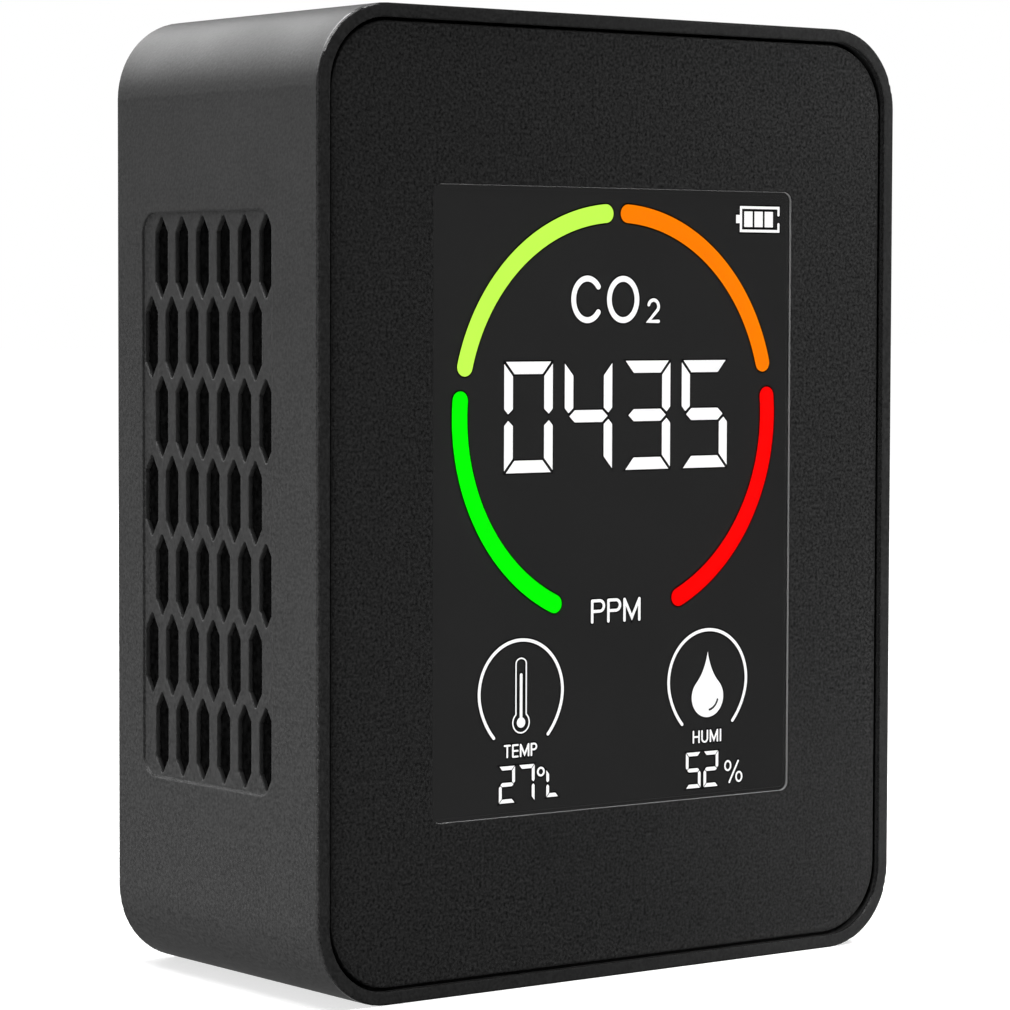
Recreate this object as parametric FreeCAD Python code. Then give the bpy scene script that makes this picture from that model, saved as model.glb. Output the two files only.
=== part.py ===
import FreeCAD, Part

import os
from collections import namedtuple

# A desk carbon dioxide monitor, in millimetres.
# X runs to the right seen from the front, Y from the front to the rear, Z up.
# The origin is the middle of the footprint, on the surface it stands on.

V = FreeCAD.Vector

# ---- Driving dimensions -------------------------------------------------------------------

WIDTH = 69.0
DEPTH = 34.0
HEIGHT = 90.4
CORNER_R = 7.6
FRONT = -DEPTH / 2
REAR = DEPTH / 2
MID_Z = HEIGHT / 2

# Sleeve and the two covers set into its ends.
WALL = 2.2
RIM = 1.25
SEAM = 0.25
RIM_FRONT_R = 0.2
RIM_REAR_R = 0.35
COVER_T = 2.0
PANEL_RECESS = 0.45
COVER_RECESS = 0.3
PANEL_FRONT = FRONT + PANEL_RECESS
PANEL_BACK = PANEL_FRONT + COVER_T
COVER_BACK = REAR - COVER_RECESS
COVER_FRONT = COVER_BACK - COVER_T
PANEL_CORNER_R = 6.6
EDGE_R = 0.25
INNER_X = WIDTH / 2 - WALL
INNER_HALF_H = HEIGHT / 2 - WALL

# Side vents: staggered upright hexagonal holes in a shallow recess.
VENT_ROWS = 7
VENT_COLUMNS = 6
VENT_PITCH = 3.53
VENT_ROW_PITCH = 7.47
VENT_HOLE_W = 2.2
VENT_HOLE_H = 7.6
VENT_TIP_H = 1.45
VENT_TIP_W = 0.3
VENT_MID_Y = 1.43
VENT_MID_Z = MID_Z + 0.15
VENT_STAGGER = 0.25
VENT_MARGIN = 0.15
VENT_END_MARGIN = 0.5
VENT_RECESS = 0.25
VENT_CORNER_R = 2.0
VENT_SKIN = 0.5
VENT_THINNED_MARGIN = 1.0
VENT_FILTER_T = 1.2
VENT_FILTER_GAP = 0.1
VENT_W = (VENT_COLUMNS - 0.5) * VENT_PITCH + VENT_HOLE_W + 2 * VENT_MARGIN
VENT_H = VENT_ROWS * VENT_ROW_PITCH + 2 * VENT_END_MARGIN

# Display opening and the stack of sheets behind it, from the front to the rear.
WINDOW_W = 43.1
WINDOW_H = 58.4
WINDOW_R = 0.9
WINDOW_Z = MID_Z
WINDOW_EDGE_R = 0.08
WINDOW_RECESS = 0.25
WINDOW_GAP = 0.05
LENS_T = 0.35
POLARISER_T = 0.2
GLASS_T = 0.7
GASKET_T = 0.2
GASKET_MARGIN = 0.2
POLARISER_MARGIN = 0.3
LENS_FRONT = PANEL_FRONT + WINDOW_RECESS
FRONT_POLARISER = LENS_FRONT + LENS_T
FRONT_GLASS = FRONT_POLARISER + POLARISER_T
REAR_GLASS = FRONT_GLASS + GLASS_T
FRAME_FRONT = REAR_GLASS + GLASS_T
GASKET_FRONT = FRAME_FRONT - GASKET_T
GLASS_W = WINDOW_W - 2 * WINDOW_GAP
GLASS_H = WINDOW_H - 2 * WINDOW_GAP

# Backlight tray.
TRAY_W = 47.2
TRAY_H = 63.0
TRAY_R = 1.5
TRAY_POCKET_W = 41.4
TRAY_POCKET_H = 57.2
SHEET_GAP = 0.1
SHEET_W = TRAY_POCKET_W - 2 * SHEET_GAP
SHEET_FOOT = 0.3
DIFFUSER = FRAME_FRONT + POLARISER_T
LIGHT_GUIDE = DIFFUSER + POLARISER_T
LIGHT_GUIDE_T = 2.0
REFLECTOR = LIGHT_GUIDE + LIGHT_GUIDE_T
REFLECTOR_T = 0.15
TRAY_FLOOR = REFLECTOR + REFLECTOR_T
TRAY_FLOOR_T = 0.8
TRAY_BACK = TRAY_FLOOR + TRAY_FLOOR_T
POCKET_BOTTOM = WINDOW_Z - TRAY_POCKET_H / 2
POCKET_TOP = WINDOW_Z + TRAY_POCKET_H / 2
LED_STRIP_T = 0.2
LED_STRIP_GAP = 0.1
LED_COUNT = 6
LED_PITCH = 6.4
LED_W = 3.0
LED_H = 0.9
LED_GAP = 0.3
LED_BOTTOM = POCKET_BOTTOM + LED_STRIP_T
LED_TOP = LED_BOTTOM + LED_H
SHEET_BOTTOM = POCKET_BOTTOM + SHEET_FOOT

# Display cable, from the rear glass back to the main board.
CABLE_W = 16.0
CABLE_T = 0.15
CABLE_Z = 12.6
CABLE_BEND_R = 0.8
CABLE_BOND = 1.8
CABLE_BOND_GAP = 0.5
CABLE_SLOT_GAP = 0.2
CONNECTOR_W = CABLE_W + 4.0
CONNECTOR_H = 3.2
CONNECTOR_T = 2.8
CONNECTOR_FLOOR = 0.8

# Main board, screwed to posts on the rear cover.
BOARD_W = 54.0
BOARD_H = 68.0
BOARD_Z = 44.5
BOARD_R = 2.0
BOARD_T = 1.6
BOARD_FRONT = 4.8
BOARD_BACK = BOARD_FRONT + BOARD_T
POST_R = 2.5
POST_X = 23.5
POST_Z = (14.5, 74.5)
BOARD_HOLE_R = 1.15
WARMTH_SLOT_X = -19.5
WARMTH_SLOT_Z = 24.0
WARMTH_SLOT_W = 1.0
WARMTH_SLOT_H = 8.0

# Screws.
SCREW_R = 1.0
SCREW_HEAD_R = 1.9
SCREW_HEAD_T = 1.1
SCREW_L = 8.0
DRIVE_W = 0.5
DRIVE_L = 2.2
DRIVE_DEEP = 0.6
HEAD_CLEARANCE = 0.3
HEAD_SUNK = 0.1
HEAD_SEAT = COVER_BACK - SCREW_HEAD_T - HEAD_SUNK
COVER_SCREW_X = 28.9
COVER_SCREW_Z = (5.6, HEIGHT - 5.6)
BOSS_R = 3.6
BOSS_L = 10.0

# USB socket and power button, side by side low on the rear.
REAR_CONTROLS_Z = 18.0
USB_W = 8.94
USB_H = 3.26
USB_WALL = 0.25
USB_MOUTH = COVER_BACK - 0.6
USB_BASE_L = 3.0
USB_OPENING_GAP = 0.28
BUTTON_X = 13.0
BUTTON_W = 9.0
BUTTON_H = 4.0
BUTTON_GAP = 0.25
BUTTON_PROUD = 0.2
BUTTON_FLANGE = 1.2
BUTTON_FLANGE_T = 0.8
BUTTON_STEM_R = 1.6
BUTTON_SWITCH_GAP = 0.05
COLLAR_GAP = 0.25
COLLAR_WALL = 1.0
COLLAR_L = 2.0

# Push switch under the button.
SWITCH_W = 6.0
SWITCH_BODY_T = 2.9
SWITCH_PLATE_T = 0.2
SWITCH_POCKET_R = 2.5
SWITCH_POCKET = BOARD_BACK + 1.8
SWITCH_TOP = BOARD_BACK + SWITCH_BODY_T
PLUNGER_R = 1.7
PLUNGER_FOOT_R = 2.2
PLUNGER_FOOT_T = 0.45
PLUNGER_END = BOARD_BACK + 5.0
PLUNGER_GAP = 0.05
SNAP_DISC_GAP = 0.1
SNAP_DISC_T = 0.1
SWITCH_LEG_L = 1.2
SWITCH_LEG_W = 0.7
SWITCH_LEG_T = 0.2
SWITCH_LEG_Z = 2.25

# Infrared gas sensor, a module plugged into the front of the main board.
SENSOR_X = (-25.0, -5.0)
SENSOR_Z = (34.0, 66.0)
SENSOR_BOARD_T = 1.0
SENSOR_STANDOFF = 2.0
SENSOR_BACK = BOARD_FRONT - SENSOR_STANDOFF
SENSOR_FRONT = SENSOR_BACK - SENSOR_BOARD_T
CHAMBER_X = (-23.0, -9.0)
CHAMBER_Z = (37.0, 63.0)
CHAMBER_H = 5.5
CHAMBER_WALL = 0.5
CHAMBER_FRONT = SENSOR_FRONT - CHAMBER_H

# Battery, taped behind the display.
CELL_W = 34.0
CELL_H = 48.0
CELL_T = 5.5
CELL_Z = 46.0
TAPE_T = 0.3
CELL_FRONT = TRAY_BACK + TAPE_T
CELL_BACK = CELL_FRONT + CELL_T
CELL_TOP = CELL_Z + CELL_H / 2
PLUG_X = 14.0
PLUG_Z = 74.0
LEAD_R = 0.55
LEAD_PITCH = 2.0
LEAD_RISE = 2.0


# ---- Shape helpers ------------------------------------------------------------------------

def block(x_span, y_span, z_span):
    """A box between two values on each axis."""
    size = [high - low for low, high in (x_span, y_span, z_span)]
    return Part.makeBox(*size, V(x_span[0], y_span[0], z_span[0]))


def block_on(centre_x, centre_z, width, height, y_span):
    """A box centred in the front view."""
    x_span = (centre_x - width / 2, centre_x + width / 2)
    z_span = (centre_z - height / 2, centre_z + height / 2)
    return block(x_span, y_span, z_span)


def edges_along(shape, axis):
    """The straight edges of a shape that run along one axis."""
    found = []
    for edge in shape.Edges:
        run = edge.Vertexes[-1].Point - edge.Vertexes[0].Point
        if run.Length > 0 and abs(abs(run.dot(axis)) - run.Length) < 1e-6:
            found.append(edge)
    return found


def edges_at_y(shape, y):
    """The edges of a shape that lie in the plane of one Y value."""
    return [e for e in shape.Edges if abs(e.BoundBox.YMin - y) < 1e-6 and abs(e.BoundBox.YMax - y) < 1e-6]


def plate(width, height, radius, y_span, centre_x=0.0, centre_z=MID_Z):
    """A rounded rectangle in the front view, thick along Y."""
    sheet = block_on(centre_x, centre_z, width, height, y_span)
    return sheet.makeFillet(radius, edges_along(sheet, V(0, 1, 0)))


def pill(width, height, y_span, centre_x, centre_z):
    """A bar with round ends in the front view, thick along Y."""
    middle = block_on(centre_x, centre_z, width - height, height, y_span)
    reach = (width - height) / 2
    ends = [rod(height / 2, y_span, centre_x + side * reach, centre_z) for side in (-1, 1)]
    return middle.fuse(ends).removeSplitter()


def rod(radius, y_span, x, z):
    """A round bar along Y."""
    return Part.makeCylinder(radius, y_span[1] - y_span[0], V(x, y_span[0], z), V(0, 1, 0))


def four_corners(x, z_pair):
    """The four places mirrored left and right at two heights."""
    return [(side * x, z) for side in (-1, 1) for z in z_pair]


def screw(x, z, head_y, direction):
    """A pan-head screw along Y: head_y is under the head, direction points to the tip."""
    tip = head_y + direction * SCREW_L
    top = head_y - direction * SCREW_HEAD_T
    shank = rod(SCREW_R, sorted((head_y, tip)), x, z)
    head = rod(SCREW_HEAD_R, sorted((head_y, top)), x, z)
    head = head.makeFillet(SCREW_HEAD_T / 2, edges_at_y(head, top))
    drive_y = sorted((top, top + direction * DRIVE_DEEP))
    cross = [block_on(x, z, DRIVE_L, DRIVE_W, drive_y), block_on(x, z, DRIVE_W, DRIVE_L, drive_y)]
    return shank.fuse(head).cut(cross)


# ---- Housing ------------------------------------------------------------------------------

HOOK_L = 5.0
HOOK_T = 1.0
HOOK_DEEP = 4.0
HOOK_GAP = 0.15
BARB = 0.5
BARB_DEEP = 1.2
CATCH_GAP = 0.15
HOOK_Z = 33.5
HOOK_X = 15.0


def hook_places():
    """Middle, outward direction and length axis of each snap hook around the front panel."""
    places = []
    for side in (-1, 1):
        for along in (-1, 1):
            beside = V(side * INNER_X, 0, MID_Z + along * HOOK_Z)
            above = V(along * HOOK_X, 0, MID_Z + side * INNER_HALF_H)
            places.append((beside, V(side, 0, 0), V(0, 0, 1)))
            places.append((above, V(0, 0, side), V(1, 0, 0)))
    return places


def hook_block(place, inward, outward, half_length, y_span):
    """A box set by how far it reaches inward and outward of the sleeve's inner wall."""
    middle, out, along = place
    corner_a = middle - out * inward - along * half_length
    corner_b = middle + out * outward + along * half_length
    x_span = sorted((corner_a.x, corner_b.x))
    z_span = sorted((corner_a.z, corner_b.z))
    return block(x_span, y_span, z_span)


def snap_hook(place):
    """A tab on the back of the front panel with a barb at its end."""
    tip = PANEL_BACK + HOOK_DEEP
    tab = hook_block(place, HOOK_GAP + HOOK_T, -HOOK_GAP, HOOK_L / 2, (PANEL_BACK, tip))
    barb = hook_block(place, HOOK_GAP, BARB, HOOK_L / 2, (tip - BARB_DEEP, tip))
    return tab.fuse(barb)


def catch_pocket(place):
    """The pocket in the sleeve's wall that a hook's barb sits in."""
    tip = PANEL_BACK + HOOK_DEEP
    y_span = (tip - BARB_DEEP - CATCH_GAP, tip + CATCH_GAP)
    return hook_block(place, 0, BARB + CATCH_GAP, HOOK_L / 2 + CATCH_GAP, y_span)


def vent_hole(y, z):
    """One long hexagonal hole with blunt tips, through the left wall."""
    half_w = VENT_HOLE_W / 2
    half_h = VENT_HOLE_H / 2
    shoulder = half_h - VENT_TIP_H
    half_tip = VENT_TIP_W / 2
    right = [(half_w, -shoulder), (half_w, shoulder), (half_tip, half_h)]
    outline = right + [(-dy, -dz) for dy, dz in right]
    outline.insert(3, (-half_tip, half_h))
    outline.append((half_tip, -half_h))
    points = [V(-WIDTH / 2, y + dy, z + dz) for dy, dz in outline]
    face = Part.Face(Part.makePolygon(points + points[:1]))
    return face.extrude(V(WALL, 0, 0))


def vent_block(x_span, margin=0.0):
    """A round-cornered block as wide and high as the left vent, with a margin all round."""
    half_w = VENT_W / 2 + margin
    half_h = VENT_H / 2 + margin
    y_span = (VENT_MID_Y - half_w, VENT_MID_Y + half_w)
    z_span = (VENT_MID_Z - half_h, VENT_MID_Z + half_h)
    shape = block(x_span, y_span, z_span)
    return shape.makeFillet(VENT_CORNER_R, edges_along(shape, V(1, 0, 0)))


def vent_filter(side):
    """A sheet of open-cell foam stuck behind a vent to keep the dust out; side is -1 or 1."""
    front = WIDTH / 2 - VENT_RECESS - VENT_SKIN
    left = vent_block((-front, -front + VENT_FILTER_T), VENT_THINNED_MARGIN - VENT_FILTER_GAP)
    return left if side < 0 else left.mirror(V(0, 0, 0), V(1, 0, 0))


def vent_cut():
    """Everything that is taken out of the left wall for its vent."""
    outer = -WIDTH / 2
    skin = outer + VENT_RECESS
    recess = vent_block((outer, skin))
    thinning = vent_block((skin + VENT_SKIN, outer + WALL), VENT_THINNED_MARGIN)
    holes = []
    for row in range(VENT_ROWS):
        z = VENT_MID_Z + ((VENT_ROWS - 1) / 2 - row) * VENT_ROW_PITCH
        stagger = -VENT_STAGGER if row % 2 == 0 else VENT_STAGGER
        for column in range(VENT_COLUMNS):
            steps = column - (VENT_COLUMNS - 1) / 2 + stagger
            holes.append(vent_hole(VENT_MID_Y + steps * VENT_PITCH, z))
    return [recess, thinning] + holes


def housing_sleeve():
    outside = plate(WIDTH, HEIGHT, CORNER_R, (FRONT, REAR))
    outside = outside.makeFillet(RIM_FRONT_R, edges_at_y(outside, FRONT))
    outside = outside.makeFillet(RIM_REAR_R, edges_at_y(outside, REAR))
    cavity = plate(WIDTH - 2 * WALL, HEIGHT - 2 * WALL, CORNER_R - WALL, (FRONT, REAR))
    pocket_size = (WIDTH - 2 * RIM, HEIGHT - 2 * RIM, CORNER_R - RIM)
    pockets = [plate(*pocket_size, (FRONT, PANEL_BACK)), plate(*pocket_size, (COVER_FRONT, REAR))]
    sleeve = outside.cut([cavity] + pockets)
    places = four_corners(COVER_SCREW_X, COVER_SCREW_Z)
    bosses = [rod(BOSS_R, (COVER_FRONT - BOSS_L, COVER_FRONT), x, z) for x, z in places]
    sleeve = sleeve.fuse(bosses)
    pilots = [rod(SCREW_R, (COVER_FRONT - SCREW_L, COVER_FRONT), x, z) for x, z in places]
    left_vent = vent_cut()
    right_vent = [cut.mirror(V(0, 0, 0), V(1, 0, 0)) for cut in left_vent]
    catches = [catch_pocket(place) for place in hook_places()]
    return sleeve.cut(pilots + left_vent + right_vent + catches).removeSplitter()


def front_panel():
    thickness = (PANEL_FRONT, PANEL_BACK)
    panel = plate(WIDTH - 2 * (RIM + SEAM), HEIGHT - 2 * (RIM + SEAM), PANEL_CORNER_R, thickness)
    panel = panel.makeFillet(EDGE_R, edges_at_y(panel, PANEL_FRONT))
    outline = edges_at_y(panel, PANEL_FRONT)
    panel = panel.cut(plate(WINDOW_W, WINDOW_H, WINDOW_R, thickness, 0, WINDOW_Z))
    opening = [e for e in edges_at_y(panel, PANEL_FRONT) if not any(e.isPartner(o) for o in outline)]
    panel = panel.makeFillet(WINDOW_EDGE_R, opening)
    return panel.fuse([snap_hook(place) for place in hook_places()])


def rear_cover():
    cover = plate(WIDTH - 2 * (RIM + SEAM), HEIGHT - 2 * (RIM + SEAM), CORNER_R - RIM - SEAM,
                  (COVER_FRONT, COVER_BACK))
    cover = cover.makeFillet(EDGE_R, edges_at_y(cover, COVER_BACK))
    posts = [rod(POST_R, (BOARD_BACK, COVER_FRONT), x, z) for x, z in four_corners(POST_X, POST_Z)]
    flange = (BUTTON_W + 2 * BUTTON_FLANGE, BUTTON_H + 2 * BUTTON_FLANGE)
    hollow = [size + 2 * COLLAR_GAP for size in flange]
    around = [size + 2 * COLLAR_WALL for size in hollow]
    collar_y = (COVER_FRONT - COLLAR_L, COVER_FRONT)
    collar = pill(*around, collar_y, BUTTON_X, REAR_CONTROLS_Z)
    collar = collar.cut(pill(*hollow, collar_y, BUTTON_X, REAR_CONTROLS_Z))
    cover = cover.fuse(posts + [collar])
    through = (COVER_FRONT, COVER_BACK)
    cuts = [
        pill(BUTTON_W + 2 * BUTTON_GAP, BUTTON_H + 2 * BUTTON_GAP, through, BUTTON_X, REAR_CONTROLS_Z),
        pill(USB_W + 2 * USB_OPENING_GAP, USB_H + 2 * USB_OPENING_GAP, through, 0, REAR_CONTROLS_Z),
    ]
    for x, z in four_corners(COVER_SCREW_X, COVER_SCREW_Z):
        cuts.append(rod(SCREW_R + HEAD_CLEARANCE / 2, through, x, z))
        cuts.append(rod(SCREW_HEAD_R + HEAD_CLEARANCE, (HEAD_SEAT, COVER_BACK), x, z))
    board_screw_tip = BOARD_FRONT + SCREW_L
    for x, z in four_corners(POST_X, POST_Z):
        cuts.append(rod(SCREW_R, (BOARD_BACK, board_screw_tip), x, z))
    return cover.cut(cuts)


def rear_cover_screws():
    places = four_corners(COVER_SCREW_X, COVER_SCREW_Z)
    return Part.makeCompound([screw(x, z, HEAD_SEAT, -1) for x, z in places])


# ---- Display ------------------------------------------------------------------------------

def window_sheet(front, thickness, margin=0.0):
    """A sheet that fills the display opening, less a margin all round where asked."""
    y_span = (front, front + thickness)
    return plate(GLASS_W - 2 * margin, GLASS_H - 2 * margin, WINDOW_R - WINDOW_GAP, y_span, 0, WINDOW_Z)


def display_gasket():
    """The foam ring that seals and sticks the backlight tray to the front panel."""
    ring = plate(TRAY_W, TRAY_H, TRAY_R, (GASKET_FRONT, FRAME_FRONT), 0, WINDOW_Z)
    hole_size = [size + 2 * GASKET_MARGIN for size in (WINDOW_W, WINDOW_H)]
    hole = block_on(0, WINDOW_Z, *hole_size, (GASKET_FRONT, FRAME_FRONT))
    return ring.cut(hole)


def cable_slot():
    """The shallow channel in the tray's bottom wall that the display cable leaves through."""
    z_span = (WINDOW_Z - TRAY_H / 2, POCKET_BOTTOM)
    half = CABLE_W / 2 + CABLE_SLOT_GAP
    return block((-half, half), (FRAME_FRONT, FRAME_FRONT + POLARISER_T), z_span)


def lcd_rear_polariser():
    """Stops short of the cable's bonding strip at the bottom."""
    z_span = (POCKET_BOTTOM + CABLE_BOND + CABLE_BOND_GAP, POCKET_TOP - SHEET_GAP)
    return block((-SHEET_W / 2, SHEET_W / 2), (FRAME_FRONT, DIFFUSER), z_span)


def light_sheet(front, back, bottom):
    return block((-SHEET_W / 2, SHEET_W / 2), (front, back), (bottom, POCKET_TOP - SHEET_GAP))


def backlight_led_strip():
    y_span = (LIGHT_GUIDE + LED_STRIP_GAP, REFLECTOR - LED_STRIP_GAP)
    half = LED_COUNT * LED_PITCH / 2
    return block((-half, half), y_span, (POCKET_BOTTOM, LED_BOTTOM))


def backlight_leds():
    y_span = (LIGHT_GUIDE + LED_GAP, REFLECTOR - LED_GAP)
    lamps = []
    for i in range(LED_COUNT):
        x = (i - (LED_COUNT - 1) / 2) * LED_PITCH
        lamps.append(block((x - LED_W / 2, x + LED_W / 2), y_span, (LED_BOTTOM, LED_TOP)))
    return Part.makeCompound(lamps)


def lcd_tray():
    tray = plate(TRAY_W, TRAY_H, TRAY_R, (FRAME_FRONT, TRAY_BACK), 0, WINDOW_Z)
    pocket = block_on(0, WINDOW_Z, TRAY_POCKET_W, TRAY_POCKET_H, (FRAME_FRONT, TRAY_FLOOR))
    return tray.cut([pocket, cable_slot()])


def lcd_flex_cable():
    """Bonded behind the rear glass, out at the bottom, then straight back to its connector."""
    half = CABLE_W / 2
    back = BOARD_FRONT - CONNECTOR_FLOOR
    drop = block((-half, half), (FRAME_FRONT, FRAME_FRONT + CABLE_T), (CABLE_Z, POCKET_BOTTOM + CABLE_BOND))
    run = block((-half, half), (FRAME_FRONT, back), (CABLE_Z, CABLE_Z + CABLE_T))
    strip = drop.fuse(run).removeSplitter()

    def bend(shape, radius, corner):
        edges = [e for e in edges_along(shape, V(1, 0, 0)) if (e.CenterOfMass - corner).Length < 1e-3]
        return shape.makeFillet(radius, edges)

    strip = bend(strip, CABLE_BEND_R, V(0, FRAME_FRONT + CABLE_T, CABLE_Z + CABLE_T))
    return bend(strip, CABLE_BEND_R + CABLE_T, V(0, FRAME_FRONT, CABLE_Z))


def lcd_flex_connector():
    middle_z = CABLE_Z + CABLE_T / 2
    mouth_y = (BOARD_FRONT - CONNECTOR_T, BOARD_FRONT - CONNECTOR_FLOOR)
    body = block_on(0, middle_z, CONNECTOR_W, CONNECTOR_H, (BOARD_FRONT - CONNECTOR_T, BOARD_FRONT))
    return body.cut(block_on(0, middle_z, CABLE_W + 2 * CABLE_SLOT_GAP, CABLE_T, mouth_y))


# ---- Main board and its small parts -------------------------------------------------------

def main_board():
    board = plate(BOARD_W, BOARD_H, BOARD_R, (BOARD_FRONT, BOARD_BACK), 0, BOARD_Z)
    thickness = (BOARD_FRONT, BOARD_BACK)
    holes = [rod(BOARD_HOLE_R, thickness, x, z) for x, z in four_corners(POST_X, POST_Z)]
    # A slot beside the climate sensor keeps the board's warmth away from it.
    slot = block_on(WARMTH_SLOT_X, WARMTH_SLOT_Z, WARMTH_SLOT_W, WARMTH_SLOT_H, thickness)
    return board.cut(holes + [slot])


def board_screws():
    places = four_corners(POST_X, POST_Z)
    return Part.makeCompound([screw(x, z, BOARD_FRONT, 1) for x, z in places])


# A part on the front of the board: its middle, its size in X and Z, and how far it stands up.
Chip = namedtuple("Chip", "x z width height thickness")
# Equal parts in a row, given by the first one and the step to the next.
Row = namedtuple("Row", "first step_x step_z count")

MICROCONTROLLER = Chip(13.0, 48.0, 7.0, 7.0, 1.2)
CHARGE_CONTROLLER = Chip(8.0, 26.0, 3.0, 3.0, 0.9)
VOLTAGE_REGULATOR = Chip(13.5, 27.0, 3.0, 1.6, 1.1)
CLOCK_CRYSTAL = Chip(13.0, 57.0, 3.2, 2.5, 0.8)
POWER_INDUCTOR = Chip(20.0, 27.0, 5.0, 5.0, 2.4)
CAPACITORS_BY_MICROCONTROLLER = Row(Chip(4.5, 40.0, 1.6, 0.8, 0.8), 0, 3.2, 5)
CAPACITORS_BY_INDUCTOR = Row(Chip(8.0, 32.5, 1.2, 2.0, 1.2), 3.4, 0, 4)
RESISTORS_AT_RIGHT = Row(Chip(23.5, 36.0, 1.0, 0.5, 0.35), 0, 2.6, 8)
RESISTORS_UNDER_SENSOR = Row(Chip(-14.0, 29.0, 0.5, 1.0, 0.35), 2.6, 0, 4)
CLIMATE_SENSOR = Chip(-23.0, 24.0, 2.5, 2.5, 0.9)
CLIMATE_HOLE_R = 0.5
CLIMATE_HOLE_DEEP = 0.3
BODY_LIFT = 0.1
LEAD_REACH = 1.0
LEAD_T = 0.25
LEADED_SHARE = 0.8
COIL_RING_R = 2.0
COIL_CORE_R = 1.4
COIL_DEEP = 0.4


def chip(spec):
    y_span = (BOARD_FRONT - spec.thickness, BOARD_FRONT)
    return block_on(spec.x, spec.z, spec.width, spec.height, y_span)


def leaded_chip(spec, lead_count):
    """A square chip with flat leads on all four sides."""
    size = spec.width
    body = block_on(spec.x, spec.z, size, size, (BOARD_FRONT - spec.thickness, BOARD_FRONT - BODY_LIFT))
    pitch = LEADED_SHARE * size / lead_count
    foot_y = (BOARD_FRONT - LEAD_T, BOARD_FRONT)
    leads = []
    for i in range(lead_count):
        along = (i - (lead_count - 1) / 2) * pitch
        for side in (-1, 1):
            out = side * (size + LEAD_REACH) / 2
            leads.append(block_on(spec.x + out, spec.z + along, LEAD_REACH, pitch / 2, foot_y))
            leads.append(block_on(spec.x + along, spec.z + out, pitch / 2, LEAD_REACH, foot_y))
    return body.fuse(leads)


def power_inductor():
    """A square shielded coil with a round core showing in its face."""
    spec = POWER_INDUCTOR
    face = BOARD_FRONT - spec.thickness
    ring = rod(COIL_RING_R, (face, face + COIL_DEEP), spec.x, spec.z)
    core = rod(COIL_CORE_R, (face, face + COIL_DEEP), spec.x, spec.z)
    return chip(spec).cut(ring.cut(core))


def climate_sensor():
    """The small temperature and humidity chip, with its sensing hole."""
    spec = CLIMATE_SENSOR
    face = BOARD_FRONT - spec.thickness
    return chip(spec).cut(rod(CLIMATE_HOLE_R, (face, face + CLIMATE_HOLE_DEEP), spec.x, spec.z))


def chip_rows(*rows):
    """All the parts of some rows, as one node."""
    parts = []
    for row in rows:
        for i in range(row.count):
            place = row.first._replace(x=row.first.x + i * row.step_x, z=row.first.z + i * row.step_z)
            parts.append(chip(place))
    return Part.makeCompound(parts)


# ---- USB socket, button and switch --------------------------------------------------------

def usb_pill(inset, y_span):
    return pill(USB_W - 2 * inset, USB_H - 2 * inset, y_span, 0, REAR_CONTROLS_Z)


def usb_socket_shell():
    y_span = (BOARD_BACK, USB_MOUTH)
    return usb_pill(0, y_span).cut(usb_pill(USB_WALL, y_span))


TONGUE_W = 6.7
TONGUE_T = 0.7
TONGUE_END = USB_MOUTH - 0.7
CONTACT_COUNT = 12
CONTACT_PITCH = 0.5
CONTACT_W = 0.25
CONTACT_T = 0.06
CONTACT_SHORT = 0.5


def usb_socket_core():
    """The moulded base that fills the shell's foot, with the tongue that stands from it."""
    base = usb_pill(USB_WALL, (BOARD_BACK, BOARD_BACK + USB_BASE_L))
    tongue = block_on(0, REAR_CONTROLS_Z, TONGUE_W, TONGUE_T, (BOARD_BACK + USB_BASE_L, TONGUE_END))
    return base.fuse(tongue)


def usb_socket_contacts():
    strips = []
    y_span = (BOARD_BACK + USB_BASE_L, TONGUE_END - CONTACT_SHORT)
    for i in range(CONTACT_COUNT):
        x = (i - (CONTACT_COUNT - 1) / 2) * CONTACT_PITCH
        for side in (-1, 1):
            z = REAR_CONTROLS_Z + side * (TONGUE_T + CONTACT_T) / 2
            strips.append(block_on(x, z, CONTACT_W, CONTACT_T, y_span))
    return Part.makeCompound(strips)


def power_button():
    top = COVER_BACK + BUTTON_PROUD
    cap = pill(BUTTON_W, BUTTON_H, (COVER_FRONT, top), BUTTON_X, REAR_CONTROLS_Z)
    cap = cap.makeFillet(EDGE_R, edges_at_y(cap, top))
    flange_y = (COVER_FRONT - BUTTON_FLANGE_T, COVER_FRONT)
    flange_size = (BUTTON_W + 2 * BUTTON_FLANGE, BUTTON_H + 2 * BUTTON_FLANGE)
    flange = pill(*flange_size, flange_y, BUTTON_X, REAR_CONTROLS_Z)
    stem = rod(BUTTON_STEM_R, (PLUNGER_END + BUTTON_SWITCH_GAP, flange_y[0]), BUTTON_X, REAR_CONTROLS_Z)
    return cap.fuse([flange, stem])


def switch_base():
    base = block_on(BUTTON_X, REAR_CONTROLS_Z, SWITCH_W, SWITCH_W, (BOARD_BACK, SWITCH_TOP))
    return base.cut(rod(SWITCH_POCKET_R, (SWITCH_POCKET, SWITCH_TOP), BUTTON_X, REAR_CONTROLS_Z))


def switch_plate():
    y_span = (SWITCH_TOP, SWITCH_TOP + SWITCH_PLATE_T)
    sheet = block_on(BUTTON_X, REAR_CONTROLS_Z, SWITCH_W, SWITCH_W, y_span)
    return sheet.cut(rod(PLUNGER_R + PLUNGER_GAP, y_span, BUTTON_X, REAR_CONTROLS_Z))


def switch_snap_disc():
    """The contact disc, drawn snapped flat so that a full press just clears it."""
    y_span = (SWITCH_POCKET, SWITCH_POCKET + SNAP_DISC_T)
    return rod(SWITCH_POCKET_R - SNAP_DISC_GAP, y_span, BUTTON_X, REAR_CONTROLS_Z)


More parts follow.
